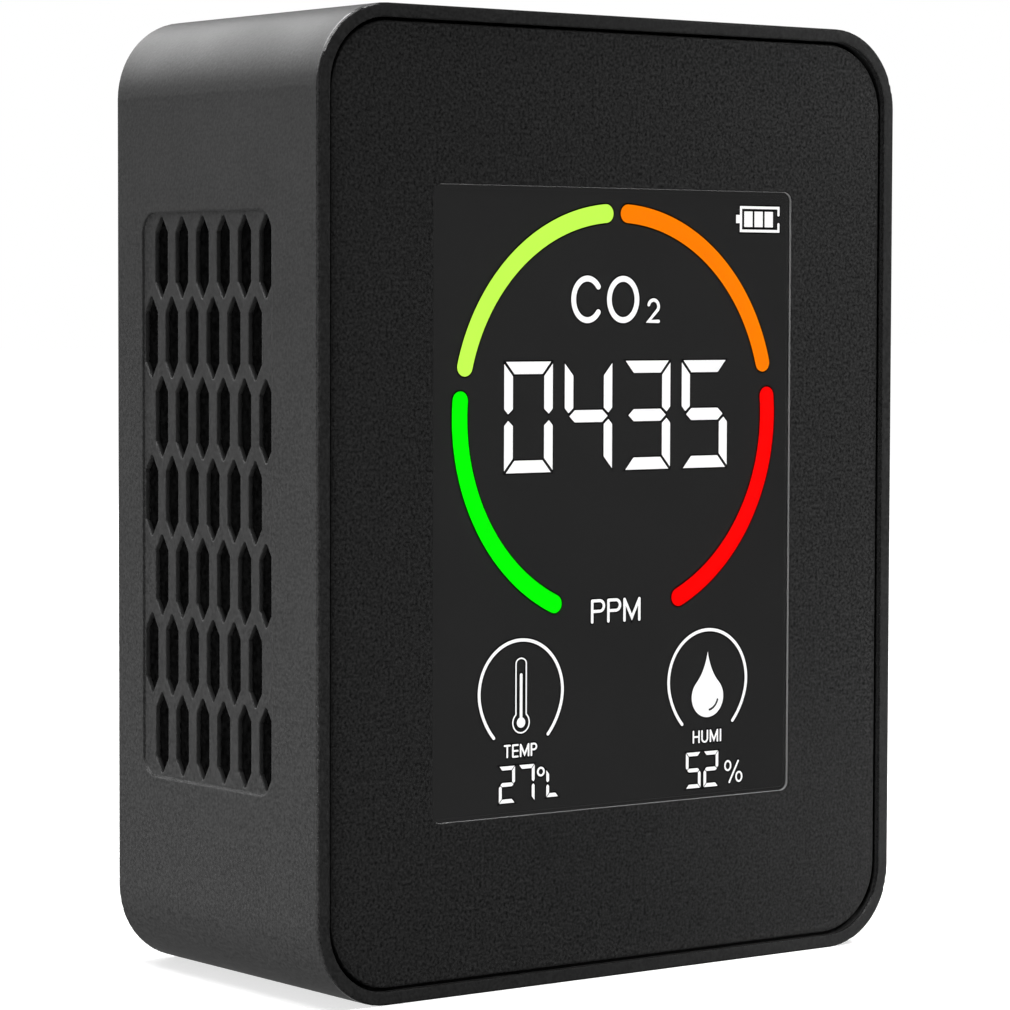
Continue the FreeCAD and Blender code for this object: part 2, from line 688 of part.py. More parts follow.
def switch_legs():
    y_span = (BOARD_BACK, BOARD_BACK + SWITCH_LEG_T)
    legs = []
    for side_x in (-1, 1):
        for side_z in (-1, 1):
            x = BUTTON_X + side_x * (SWITCH_W + SWITCH_LEG_L) / 2
            z = REAR_CONTROLS_Z + side_z * SWITCH_LEG_Z
            legs.append(block_on(x, z, SWITCH_LEG_L, SWITCH_LEG_W, y_span))
    return Part.makeCompound(legs)


def switch_plunger():
    foot_top = SWITCH_TOP - PLUNGER_GAP
    foot = rod(PLUNGER_FOOT_R, (foot_top - PLUNGER_FOOT_T, foot_top), BUTTON_X, REAR_CONTROLS_Z)
    return foot.fuse(rod(PLUNGER_R, (foot_top, PLUNGER_END), BUTTON_X, REAR_CONTROLS_Z))


# ---- Sensors ------------------------------------------------------------------------------

PIN_COUNT = 5
PIN_PITCH = 2.54
PIN_W = 0.6
PIN_PROUD = 0.6
PIN_SHORT = 0.3
PIN_X = SENSOR_X[1] - 1.6
PIN_SOCKET_W = 2.5
SENSOR_MID_Z = sum(SENSOR_Z) / 2
SPACER_R = 1.4
SPACER_INSET = 2.0
CHAMBER_CORNER_R = 1.0
CHAMBER_MID_X = sum(CHAMBER_X) / 2
LAMP_Z = CHAMBER_Z[0] + 4.0
LAMP_R = 1.4
LAMP_L = 2.2
DETECTOR_Z = CHAMBER_Z[1] - 5.0
DETECTOR_R = 2.3
DETECTOR_L = 3.0
DETECTOR_WINDOW_W = 1.8
DETECTOR_WINDOW_DEEP = 0.3
FILTER_Z = 5.5
FILTER_W = 4.0
FILTER_BORDER = 1.0
FILTER_T = 0.3


def sensor_pins():
    y_span = (SENSOR_FRONT - PIN_PROUD, BOARD_FRONT - PIN_SHORT)
    zs = [SENSOR_MID_Z + (i - (PIN_COUNT - 1) / 2) * PIN_PITCH for i in range(PIN_COUNT)]
    return Part.makeCompound([block_on(PIN_X, z, PIN_W, PIN_W, y_span) for z in zs])


def co2_sensor_board():
    return block(SENSOR_X, (SENSOR_FRONT, SENSOR_BACK), SENSOR_Z).cut(sensor_pins())


def co2_sensor_socket():
    body = block_on(PIN_X, SENSOR_MID_Z, PIN_SOCKET_W, PIN_COUNT * PIN_PITCH, (SENSOR_BACK, BOARD_FRONT))
    return body.cut(sensor_pins())


def co2_sensor_spacers():
    x = SENSOR_X[0] + SPACER_INSET
    zs = (SENSOR_Z[0] + SPACER_INSET, SENSOR_Z[1] - SPACER_INSET)
    return Part.makeCompound([rod(SPACER_R, (SENSOR_BACK, BOARD_FRONT), x, z) for z in zs])


def filter_places():
    return [(CHAMBER_MID_X, SENSOR_MID_Z + side * FILTER_Z) for side in (-1, 1)]


def co2_sensor_chamber():
    """A gold-lined box, open to its board, with two breathing holes in its face."""
    shell = block(CHAMBER_X, (CHAMBER_FRONT, SENSOR_FRONT), CHAMBER_Z)
    shell = shell.makeFillet(CHAMBER_CORNER_R, edges_along(shell, V(0, 1, 0)))
    inside = [(low + CHAMBER_WALL, high - CHAMBER_WALL) for low, high in (CHAMBER_X, CHAMBER_Z)]
    hollow = block(inside[0], (CHAMBER_FRONT + CHAMBER_WALL, SENSOR_FRONT), inside[1])
    face_y = (CHAMBER_FRONT, CHAMBER_FRONT + CHAMBER_WALL)
    holes = [block_on(x, z, FILTER_W, FILTER_W, face_y) for x, z in filter_places()]
    return shell.cut([hollow] + holes)


def co2_sensor_filters():
    y_span = (CHAMBER_FRONT - FILTER_T, CHAMBER_FRONT)
    size = FILTER_W + 2 * FILTER_BORDER
    return Part.makeCompound([block_on(x, z, size, size, y_span) for x, z in filter_places()])


def co2_sensor_lamp():
    base = rod(LAMP_R, (SENSOR_FRONT - LAMP_L, SENSOR_FRONT), CHAMBER_MID_X, LAMP_Z)
    dome = Part.makeSphere(LAMP_R, V(CHAMBER_MID_X, SENSOR_FRONT - LAMP_L, LAMP_Z))
    return base.fuse(dome)


def co2_sensor_detector():
    """A round metal can with a filter window in its end."""
    end = SENSOR_FRONT - DETECTOR_L
    can = rod(DETECTOR_R, (end, SENSOR_FRONT), CHAMBER_MID_X, DETECTOR_Z)
    window_y = (end, end + DETECTOR_WINDOW_DEEP)
    return can.cut(block_on(CHAMBER_MID_X, DETECTOR_Z, DETECTOR_WINDOW_W, DETECTOR_WINDOW_W, window_y))


# ---- Battery ------------------------------------------------------------------------------

CELL_MID_Y = (CELL_FRONT + CELL_BACK) / 2
CELL_CORNER_R = 2.0
CELL_EDGE_R = 1.0
TAPE_MARGIN = 4.0
PROTECTION_BOARD_W = 24.0
PROTECTION_BOARD_H = 3.5
PROTECTION_BOARD_T = 1.0
PLUG_W = 6.0
PLUG_H = 3.0
PLUG_L = 5.0
PLUG_IN = 3.5
PLUG_GAP = 0.05
PLUG_BACK = BOARD_FRONT - 1.1
HEADER_WALL = 0.9
HEADER_FRONT = PLUG_BACK - PLUG_IN
LEADS_X = 4.0
LEADS_Z = CELL_TOP + 2.0


def battery_cell():
    cell = plate(CELL_W, CELL_H, CELL_CORNER_R, (CELL_FRONT, CELL_BACK), 0, CELL_Z)
    return cell.makeFillet(CELL_EDGE_R, edges_at_y(cell, CELL_BACK))


def battery_tape():
    size = [length - 2 * TAPE_MARGIN for length in (CELL_W, CELL_H)]
    return block_on(0, CELL_Z, *size, (TRAY_BACK, CELL_FRONT))


def battery_protection_board():
    half_w = PROTECTION_BOARD_W / 2
    half_t = PROTECTION_BOARD_T / 2
    y_span = (CELL_MID_Y - half_t, CELL_MID_Y + half_t)
    return block((-half_w, half_w), y_span, (CELL_TOP, CELL_TOP + PROTECTION_BOARD_H))


def battery_header():
    outside = [size + 2 * HEADER_WALL for size in (PLUG_W, PLUG_H)]
    mouth = [size + 2 * PLUG_GAP for size in (PLUG_W, PLUG_H)]
    body = block_on(PLUG_X, PLUG_Z, *outside, (HEADER_FRONT, BOARD_FRONT))
    return body.cut(block_on(PLUG_X, PLUG_Z, *mouth, (HEADER_FRONT, PLUG_BACK)))


def battery_plug():
    return block_on(PLUG_X, PLUG_Z, PLUG_W, PLUG_H, (PLUG_BACK - PLUG_L, PLUG_BACK))


def battery_lead(side):
    """One wire from the protection board to the plug."""
    start = V(LEADS_X + side * LEAD_PITCH / 2, CELL_MID_Y + PROTECTION_BOARD_T / 2, LEADS_Z)
    end = V(PLUG_X + side * LEAD_PITCH / 2, PLUG_BACK - PLUG_L, PLUG_Z)
    middle = (start + end) * 0.5 + V(0, -side * LEAD_PITCH / 2, LEAD_RISE)
    straight_back = V(0, 1, 0)
    curve = Part.BSplineCurve()
    curve.interpolate([start, middle, end], InitialTangent=straight_back, FinalTangent=straight_back)
    spine = Part.Wire([curve.toShape()])
    section = Part.Wire([Part.makeCircle(LEAD_R, start, straight_back)])
    return spine.makePipeShell([section], True, False)


# ---- Every piece by its name --------------------------------------------------------------

def all_parts():
    """Each node's name with its shape."""
    return {
        "housing_sleeve": housing_sleeve(),
        "vent_filter_left": vent_filter(-1),
        "vent_filter_right": vent_filter(1),
        "front_panel": front_panel(),
        "rear_cover": rear_cover(),
        "rear_cover_screws": rear_cover_screws(),
        "display_window": window_sheet(LENS_FRONT, LENS_T),
        "display_gasket": display_gasket(),
        "lcd_front_polariser": window_sheet(FRONT_POLARISER, POLARISER_T, POLARISER_MARGIN),
        "lcd_front_glass": window_sheet(FRONT_GLASS, GLASS_T),
        "lcd_rear_glass": window_sheet(REAR_GLASS, GLASS_T),
        "lcd_rear_polariser": lcd_rear_polariser(),
        "backlight_diffuser": light_sheet(DIFFUSER, LIGHT_GUIDE, SHEET_BOTTOM),
        "backlight_light_guide": light_sheet(LIGHT_GUIDE, REFLECTOR, LED_TOP + SHEET_GAP),
        "backlight_reflector": light_sheet(REFLECTOR, TRAY_FLOOR, SHEET_BOTTOM),
        "backlight_led_strip": backlight_led_strip(),
        "backlight_leds": backlight_leds(),
        "backlight_tray": lcd_tray(),
        "lcd_flex_cable": lcd_flex_cable(),
        "lcd_flex_connector": lcd_flex_connector(),
        "main_board": main_board(),
        "board_screws": board_screws(),
        "microcontroller": leaded_chip(MICROCONTROLLER, 8),
        "charge_controller": leaded_chip(CHARGE_CONTROLLER, 3),
        "voltage_regulator": chip(VOLTAGE_REGULATOR),
        "power_inductor": power_inductor(),
        "clock_crystal": chip(CLOCK_CRYSTAL),
        "ceramic_capacitors": chip_rows(CAPACITORS_BY_MICROCONTROLLER, CAPACITORS_BY_INDUCTOR),
        "chip_resistors": chip_rows(RESISTORS_AT_RIGHT, RESISTORS_UNDER_SENSOR),
        "usb_socket_shell": usb_socket_shell(),
        "usb_socket_core": usb_socket_core(),
        "usb_socket_contacts": usb_socket_contacts(),
        "power_button": power_button(),
        "switch_base": switch_base(),
        "switch_plate": switch_plate(),
        "switch_snap_disc": switch_snap_disc(),
        "switch_legs": switch_legs(),
        "switch_plunger": switch_plunger(),
        "co2_sensor_board": co2_sensor_board(),
        "co2_sensor_chamber": co2_sensor_chamber(),
        "co2_sensor_filters": co2_sensor_filters(),
        "co2_sensor_lamp": co2_sensor_lamp(),
        "co2_sensor_detector": co2_sensor_detector(),
        "co2_sensor_pins": sensor_pins(),
        "co2_sensor_socket": co2_sensor_socket(),
        "co2_sensor_spacers": co2_sensor_spacers(),
        "climate_sensor": climate_sensor(),
        "battery_cell": battery_cell(),
        "battery_tape": battery_tape(),
        "battery_protection_board": battery_protection_board(),
        "battery_lead_positive": battery_lead(1),
        "battery_lead_negative": battery_lead(-1),
        "battery_plug": battery_plug(),
        "battery_header": battery_header(),
    }


os.makedirs("parts", exist_ok=True)
for name, shape in all_parts().items():
    shape.exportStep("parts/" + name + ".step")
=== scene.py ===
import math
from collections import namedtuple

import bmesh
import bpy
from mathutils import Matrix, Vector


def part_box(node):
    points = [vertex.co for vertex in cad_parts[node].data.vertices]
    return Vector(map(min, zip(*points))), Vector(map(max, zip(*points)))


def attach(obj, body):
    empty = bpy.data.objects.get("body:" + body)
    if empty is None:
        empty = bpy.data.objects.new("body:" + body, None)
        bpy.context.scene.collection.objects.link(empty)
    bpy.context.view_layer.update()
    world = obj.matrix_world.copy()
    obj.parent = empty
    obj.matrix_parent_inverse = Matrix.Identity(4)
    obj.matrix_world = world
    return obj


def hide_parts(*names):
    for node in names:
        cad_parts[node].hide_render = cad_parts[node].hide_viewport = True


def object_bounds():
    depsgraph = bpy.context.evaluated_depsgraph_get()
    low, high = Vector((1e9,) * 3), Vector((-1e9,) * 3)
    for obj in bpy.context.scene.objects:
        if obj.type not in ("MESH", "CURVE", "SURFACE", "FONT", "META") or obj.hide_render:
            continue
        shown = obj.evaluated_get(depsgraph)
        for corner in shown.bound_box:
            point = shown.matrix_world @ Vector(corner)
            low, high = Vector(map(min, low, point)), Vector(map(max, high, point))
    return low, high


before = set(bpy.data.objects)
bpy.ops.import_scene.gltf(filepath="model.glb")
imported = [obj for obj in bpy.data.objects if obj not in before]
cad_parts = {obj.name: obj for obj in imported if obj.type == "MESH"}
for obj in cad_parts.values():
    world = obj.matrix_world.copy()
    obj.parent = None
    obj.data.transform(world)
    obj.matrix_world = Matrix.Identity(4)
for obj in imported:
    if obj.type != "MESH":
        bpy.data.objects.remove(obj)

# A desk carbon dioxide monitor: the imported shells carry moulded-plastic materials, and the lens, the
# display face and everything that the display shows are built here.
# Lengths are in millimetres and are turned into metres where a mesh, a texture or the camera is made;
# those of the CAD box, the floor, the lights and the camera's clipping are in metres.

MM = 0.001
BODY = "monitor_body"
CAD_LOW, CAD_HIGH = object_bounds()

# ---- Camera -----------------------------------------------------------------------------------

CAMERA_PLACE = (-228.5, -299.9, 63.7)
CAMERA_YAW = 37.21
CAMERA_PITCH = -3.01
CAMERA_ROLL = 0.167
CAMERA_LENS = 137.78
SENSOR_WIDTH = 36.0
CLIP_NEAR, CLIP_FAR = 0.01, 50.0


def metres(point):
    return Vector(point) * MM


def make_camera():
    """The camera stands ahead and to the left of the monitor and looks at it from just above its middle."""
    data = bpy.data.cameras.new("camera")
    data.sensor_width = SENSOR_WIDTH
    data.lens = CAMERA_LENS
    data.clip_start = CLIP_NEAR
    data.clip_end = CLIP_FAR
    camera = bpy.data.objects.new("camera", data)
    bpy.context.scene.collection.objects.link(camera)
    turn = Matrix.Rotation(-math.radians(CAMERA_YAW), 4, "Z")
    tilt = Matrix.Rotation(math.radians(90.0 + CAMERA_PITCH), 4, "X")
    roll = Matrix.Rotation(math.radians(CAMERA_ROLL), 4, "Z")
    camera.matrix_world = Matrix.Translation(metres(CAMERA_PLACE)) @ turn @ tilt @ roll
    bpy.context.scene.camera = camera


# ---- Node helpers -----------------------------------------------------------------------------

# Noise values gather around a half; these are the ends of the useful range.
NOISE_LOW = 0.3
NOISE_HIGH = 0.7


def linear(red, green, blue):
    """The shader's value of a colour given in display levels from 0 to 255, by the sRGB curve."""
    def channel(level):
        share = level / 255
        if share <= 0.04045:
            return share / 12.92
        return ((share + 0.055) / 1.055) ** 2.4
    return (channel(red), channel(green), channel(blue), 1.0)


def grey(level):
    return linear(level, level, level)


def new_material(name):
    """A new material, its node tree and its shader."""
    material = bpy.data.materials.new(name)
    material.use_nodes = True
    tree = material.node_tree
    return material, tree, tree.nodes["Principled BSDF"]


def noise(tree, cell, detail=2.0, stretch=(1.0, 1.0, 1.0)):
    """Noise fixed to the object; cell is its size in millimetres, stretch lengthens it along an axis."""
    place = tree.nodes.new("ShaderNodeTexCoord")
    scaled = tree.nodes.new("ShaderNodeMapping")
    scaled.inputs["Scale"].default_value = [1 / length for length in stretch]
    texture = tree.nodes.new("ShaderNodeTexNoise")
    texture.inputs["Scale"].default_value = 1 / (cell * MM)
    texture.inputs["Detail"].default_value = detail
    tree.links.new(place.outputs["Object"], scaled.inputs["Vector"])
    tree.links.new(scaled.outputs["Vector"], texture.inputs["Vector"])
    return texture.outputs["Fac"]


def spread(tree, value, low, high):
    """Turns noise into a number between low and high."""
    ranged = tree.nodes.new("ShaderNodeMapRange")
    ranged.inputs["From Min"].default_value = NOISE_LOW
    ranged.inputs["From Max"].default_value = NOISE_HIGH
    ranged.inputs["To Min"].default_value = low
    ranged.inputs["To Max"].default_value = high
    tree.links.new(value, ranged.inputs["Value"])
    return ranged.outputs["Result"]


def between(tree, value, dark, light):
    """Turns noise into a colour between two others."""
    ramp = tree.nodes.new("ShaderNodeValToRGB")
    first, last = ramp.color_ramp.elements
    first.position = NOISE_LOW
    first.color = dark
    last.position = NOISE_HIGH
    last.color = light
    tree.links.new(value, ramp.inputs["Fac"])
    return ramp.outputs["Color"]


def bumps(tree, shader, value, height, edge=0.0):
    """Raises the surface by noise, and rounds its sharp edges by a small radius; both in millimetres."""
    bump = tree.nodes.new("ShaderNodeBump")
    bump.inputs["Distance"].default_value = height * MM
    if edge:
        rounded = tree.nodes.new("ShaderNodeBevel")
        rounded.inputs["Radius"].default_value = edge * MM
        tree.links.new(rounded.outputs["Normal"], bump.inputs["Normal"])
    tree.links.new(value, bump.inputs["Height"])
    tree.links.new(bump.outputs["Normal"], shader.inputs["Normal"])


def shaded(colour, factor):
    """A colour darkened or lightened by a factor."""
    return (colour[0] * factor, colour[1] * factor, colour[2] * factor, 1.0)


# ---- Materials --------------------------------------------------------------------------------

# The glossier line along the rounding of the housing's front rim.
RIM_ROUNDING = 0.4
RIM_POLISHED_SHARE = 0.96
RIM_ROUGHNESS = 0.12

# How far noise changes a colour, a finish or a glow to either side, as shares of it.
MOTTLE_DARK, MOTTLE_LIGHT = 0.9, 1.08
FINISH_SMOOTH, FINISH_ROUGH = 0.85, 1.15
PIT_DARK, PIT_LIGHT = 0.3, 1.6
PIT_ROUGH, PIT_SMOOTH = 1.0, 0.85
GLOW_DIM, GLOW_BRIGHT = 0.98, 1.02
FACE_DIM, FACE_BRIGHT = 0.97, 1.03
RIPPLE_ROUGH = 1.6

# Sanded plastic: how far its roughness changes, and how strongly it refracts.
SANDED_FINISH = 0.03
PLASTIC_IOR = 1.45

# Smooth solids: how many grains wide their mottling is.
MOTTLE_GRAINS = 6


def polished_rim(tree, roughness):
    """Makes the rounding of the front rim glossier than the rest: the mould is polished along that line."""
    place = tree.nodes.new("ShaderNodeTexCoord")
    parts = tree.nodes.new("ShaderNodeSeparateXYZ")
    on_rim = tree.nodes.new("ShaderNodeMath")
    on_rim.operation = "COMPARE"
    on_rim.inputs[1].default_value = CAD_LOW[1] + RIM_ROUNDING * MM / 2
    on_rim.inputs[2].default_value = RIM_ROUNDING * MM * RIM_POLISHED_SHARE / 2
    mixed = tree.nodes.new("ShaderNodeMix")
    mixed.inputs["B"].default_value = RIM_ROUGHNESS
    tree.links.new(place.outputs["Object"], parts.inputs["Vector"])
    tree.links.new(parts.outputs["Y"], on_rim.inputs[0])
    tree.links.new(on_rim.outputs["Value"], mixed.inputs["Factor"])
    tree.links.new(roughness, mixed.inputs["A"])
    return mixed.outputs["Result"]


def sanded_plastic(name, colour, roughness, grain=0.28, depth=0.012, contrast=0.25, edge=0.0):
    """Moulded plastic with the fine sand texture of a spark-eroded mould, its edges just rounded."""
    material, tree, shader = new_material(name)
    sand = noise(tree, grain, detail=3.0)
    clouds = noise(tree, cell=9.0, detail=2.0)
    sanded = between(tree, sand, shaded(colour, 1 - contrast), shaded(colour, 1 + contrast))
    tree.links.new(sanded, shader.inputs["Base Color"])
    finish = spread(tree, clouds, roughness - SANDED_FINISH, roughness + SANDED_FINISH)
    if edge:
        finish = polished_rim(tree, finish)
    tree.links.new(finish, shader.inputs["Roughness"])
    bumps(tree, shader, sand, depth, edge)
    shader.inputs["IOR"].default_value = PLASTIC_IOR
    return material


def smooth_solid(name, colour, roughness, metallic=0.0, grain=0.4, depth=0.002, stretch=(1.0, 1.0, 1.0)):
    """Moulded, plated or fired material with slight mottling and fine unevenness."""
    material, tree, shader = new_material(name)
    mottle = noise(tree, grain * MOTTLE_GRAINS, detail=3.0, stretch=stretch)
    fine = noise(tree, grain, detail=2.0, stretch=stretch)
    mottled = between(tree, mottle, shaded(colour, MOTTLE_DARK), shaded(colour, MOTTLE_LIGHT))
    finish = spread(tree, fine, roughness * FINISH_SMOOTH, roughness * FINISH_ROUGH)
    tree.links.new(mottled, shader.inputs["Base Color"])
    tree.links.new(finish, shader.inputs["Roughness"])
    shader.inputs["Metallic"].default_value = metallic
    bumps(tree, shader, fine, depth)
    return material


def shade_foam(name, colour, cell=0.5, depth=0.4):
    """Open-cell foam: rough, dull and full of small dark pits. Near black, as behind the vents, it is painted
    shade that makes the holes look black.
    """
    material, tree, shader = new_material(name)
    cells = noise(tree, cell, detail=4.0)
    pitted = between(tree, cells, shaded(colour, PIT_DARK), shaded(colour, PIT_LIGHT))
    tree.links.new(pitted, shader.inputs["Base Color"])
    tree.links.new(spread(tree, cells, PIT_ROUGH, PIT_SMOOTH), shader.inputs["Roughness"])
    shader.inputs["Specular IOR Level"].default_value = 0.0
    bumps(tree, shader, cells, depth)
    return material


def clear_solid(name, tone, roughness, ior):
    """Glass or clear plastic with very faint unevenness."""
    material, tree, shader = new_material(name)
    ripple = noise(tree, cell=6.0, detail=1.0)
    shader.inputs["Base Color"].default_value = tone
    shader.inputs["Transmission Weight"].default_value = 1.0
    shader.inputs["IOR"].default_value = ior
    tree.links.new(spread(tree, ripple, roughness, roughness * RIPPLE_ROUGH), shader.inputs["Roughness"])
    return material


def lit_symbol(name, colour, strength):
    """A display segment lit from behind, a little uneven as a backlight is."""
    material, tree, shader = new_material(name)
    glow = noise(tree, cell=5.0, detail=1.0)
    shader.inputs["Base Color"].default_value = grey(5)
    shader.inputs["Emission Color"].default_value = colour
    shader.inputs["Roughness"].default_value = 0.6
    glowing = spread(tree, glow, strength * GLOW_DIM, strength * GLOW_BRIGHT)
    tree.links.new(glowing, shader.inputs["Emission Strength"])
    return material


def dark_film(name, level):
    """The unlit part of the display: a dark film that lets a little of the backlight through."""
    material, tree, shader = new_material(name)
    glow = noise(tree, cell=12.0, detail=1.0)
    shader.inputs["Base Color"].default_value = grey(8)
    shader.inputs["Emission Color"].default_value = grey(level)
    shader.inputs["Roughness"].default_value = 0.5
    tree.links.new(spread(tree, glow, FACE_DIM, FACE_BRIGHT), shader.inputs["Emission Strength"])
    return material


ALONG_X = (30.0, 1.0, 1.0)


def cad_materials():
    """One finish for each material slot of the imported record."""
    return {
        "housing_grey": sanded_plastic("housing_grey", grey(34), 0.5, contrast=0.4, edge=0.3),
        "panel_black": sanded_plastic("panel_black", grey(32), 0.52, depth=0.02, contrast=0.7),
        "cover_grey": sanded_plastic("cover_grey", grey(44), 0.5),
        "button_black": sanded_plastic("button_black", grey(40), 0.38, grain=0.5, depth=0.004),
        "clear_lens": clear_solid("clear_lens", grey(250), 0.03, 1.49),
        "black_foam": sanded_plastic("black_foam", grey(30), 0.9, grain=0.15, depth=0.05),
        # The filter foam's near-black colour is painted shade: a dark sheet behind the vents that makes their
        # holes look black.
        "filter_foam": shade_foam("filter_foam", grey(4)),
        "polariser_film": smooth_solid("polariser_film", grey(40), 0.3),
        "display_glass": clear_solid("display_glass", linear(225, 238, 236), 0.02, 1.52),
        "white_film": smooth_solid("white_film", grey(236), 0.6),
        "light_guide_acrylic": clear_solid("light_guide_acrylic", grey(248), 0.04, 1.49),
        "mirror_film": smooth_solid("mirror_film", grey(240), 0.12, metallic=1.0),
        "white_plastic": smooth_solid("white_plastic", linear(230, 230, 226), 0.45),
        "led_white": smooth_solid("led_white", linear(248, 244, 214), 0.3),
        "orange_polyimide": smooth_solid("orange_polyimide", linear(194, 122, 44), 0.35),
        "cream_plastic": smooth_solid("cream_plastic", linear(224, 218, 199), 0.45),
        # The boards' dark colours are partly their own and partly painted shade: kept dark so that what shows
        # through the vents looks black.
        "board_black": smooth_solid("board_black", grey(34), 0.35, grain=0.6, depth=0.01),
        "board_blue": smooth_solid("board_blue", linear(14, 34, 84), 0.3, grain=0.6, depth=0.01),
        "chip_black": sanded_plastic("chip_black", grey(45), 0.6, grain=0.12, depth=0.004),
        "ferrite_grey": sanded_plastic("ferrite_grey", grey(96), 0.7, grain=0.15, depth=0.01),
        "capacitor_tan": smooth_solid("capacitor_tan", linear(186, 158, 126), 0.5, grain=0.2),
        "resistor_black": smooth_solid("resistor_black", grey(62), 0.45, grain=0.2),
        "can_metal": smooth_solid("can_metal", grey(205), 0.28, metallic=1.0, stretch=ALONG_X),
        "zinc_screw": smooth_solid("zinc_screw", grey(90), 0.35, metallic=1.0, grain=0.2),
        "board_screw_steel": smooth_solid("board_screw_steel", grey(200), 0.3, metallic=1.0, grain=0.2),
        "shell_steel": smooth_solid("shell_steel", grey(205), 0.25, metallic=1.0, stretch=ALONG_X),
        "black_nylon": smooth_solid("black_nylon", grey(45), 0.5),
        "gold_plate": smooth_solid("gold_plate", linear(232, 196, 120), 0.2, metallic=1.0, grain=0.15),
        "white_membrane": sanded_plastic("white_membrane", grey(228), 0.9, grain=0.1, depth=0.02),
        "lamp_glass": clear_solid("lamp_glass", linear(250, 248, 238), 0.02, 1.47),
        "cell_foil": smooth_solid("cell_foil", grey(195), 0.32, metallic=1.0, grain=1.2, depth=0.03),
        "tape_black": smooth_solid("tape_black", grey(58), 0.7, grain=0.2, depth=0.01),
        "wire_red": smooth_solid("wire_red", linear(188, 28, 24), 0.45),
        "wire_black": smooth_solid("wire_black", grey(34), 0.45),
        "plug_white": smooth_solid("plug_white", linear(233, 230, 218), 0.45),
    }


def paint_cad_nodes():
    """Gives every node carried over from the CAD the finish of its material slot."""
    finishes = cad_materials()
    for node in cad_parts.values():
        for slot in node.material_slots:
            slot.material = finishes[slot.material.name]


# ---- Flat shapes of the display ---------------------------------------------------------------

# A shape is drawn in the display's plane: x to the right and z up, in millimetres.
Stroke = namedtuple("Stroke", "path width closed")
Fill = namedtuple("Fill", "outline")

MITRE_LIMIT = 0.35


def arc(centre, radius, start, end, steps=40, height=None):
    """Points along a circle, or along an ellipse if a height is given; angles in degrees."""
    tall = radius if height is None else height
    angles = [math.radians(start + (end - start) * i / steps) for i in range(steps + 1)]
    return [(centre[0] + radius * math.cos(a), centre[1] + tall * math.sin(a)) for a in angles]


def loop(centre, radius, steps=48, height=None):
    """Points all the way round a circle or an ellipse."""
    return arc(centre, radius, 0.0, 360.0, steps, height)[:-1]


def bend(start, control, end, steps=12):
    """Points along a curve from start to end that leaves and arrives towards the control point."""
    points = []
    for i in range(steps + 1):
        share = i / steps
        rest = 1 - share
        points.append(tuple(rest * rest * a + 2 * rest * share * b + share * share * c
                            for a, b, c in zip(start, control, end)))
    return points


def band(path, width, closed):
    """A band of even width along a path: its points, left and right by turns, and its faces."""
    spots = [Vector(point) for point in path]
    count = len(spots)
    points = []
    for i, here in enumerate(spots):
        before = spots[i - 1] if i or closed else None
        after = spots[(i + 1) % count] if i < count - 1 or closed else None
        arriving = (here - before).normalized() if before else (after - here).normalized()
        leaving = (after - here).normalized() if after else arriving
        side_in = Vector((-arriving.y, arriving.x))
        side_out = Vector((-leaving.y, leaving.x))
        reach = max(1 + side_in.dot(side_out), MITRE_LIMIT)
        sideways = (side_in + side_out) / reach * width / 2
        points += [tuple(here + sideways), tuple(here - sideways)]
    faces = []
    for i in range(count if closed else count - 1):
        near = 2 * i
        far = 2 * ((i + 1) % count)
        faces.append((near + 1, far + 1, far, near))
    return points, faces


def end_cap(path, width, steps=10):
    """The half disc beyond a path's last point."""
    end = Vector(path[-1])
    along = end - Vector(path[-2])
    facing = math.degrees(math.atan2(along.y, along.x))
    points = arc(path[-1], width / 2, facing - 90, facing + 90, steps)
    return points, [tuple(range(len(points)))]


def patches(shape, grow):
    """The flat patches that make up a shape, grown outwards by an amount."""
    if isinstance(shape, Fill):
        made = [(shape.outline, [tuple(range(len(shape.outline)))])]
        if grow:
            made.append(band(shape.outline, 2 * grow, True))
        return made
    width = shape.width + 2 * grow
    made = [band(shape.path, width, shape.closed)]
    if not shape.closed:
        made.append(end_cap(shape.path, width))
        made.append(end_cap(shape.path[::-1], width))
    return made


def is_clockwise(points):
    return sum(a[0] * b[1] - b[0] * a[1] for a, b in zip(points, points[1:] + points[:1])) < 0


def add_patch(mesh, points, faces, front, back):
    """Adds a flat patch to a mesh as a thin closed sheet between two depths."""
    near = [mesh.verts.new(metres((x, front, z))) for x, z in points]
    far = [mesh.verts.new(metres((x, back, z))) for x, z in points]
    edges = set()
    for face in faces:
        turn = face[::-1] if is_clockwise([points[i] for i in face]) else face
        edges.update(zip(turn, turn[1:] + turn[:1]))
        mesh.faces.new([near[i] for i in turn])
        mesh.faces.new([far[i] for i in reversed(turn)])
    for a, b in sorted(edges):
        if (b, a) not in edges:
            mesh.faces.new((near[b], near[a], far[a], far[b]))


def finish_piece(name, mesh, material):
    """Turns a mesh under construction into a piece that rides on the monitor's body."""
    data = bpy.data.meshes.new(name)
    mesh.to_mesh(data)
    mesh.free()
    data.materials.append(material)
    piece = bpy.data.objects.new(name, data)
    bpy.context.scene.collection.objects.link(piece)
    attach(piece, BODY)
    return piece


def flat_piece(name, shapes, material, front, thickness, grow=0.0):
    """One piece made of flat shapes, from its front depth backwards."""
    mesh = bmesh.new()
    for shape in shapes:
        for points, faces in patches(shape, grow):
            add_patch(mesh, points, faces, front, front + thickness)
    return finish_piece(name, mesh, material)


# ---- What the display shows -------------------------------------------------------------------

LENS_LOW, LENS_HIGH = (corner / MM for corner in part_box("display_window"))
FILM_LOW, FILM_HIGH = (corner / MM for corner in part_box("lcd_front_polariser"))
LENS_FRONT = LENS_LOW.y
LENS_THICKNESS = 0.2
LENS_CORNER_R = 0.85
LENS_CHAMFER = 0.03
FILM_CORNER_R = 0.5

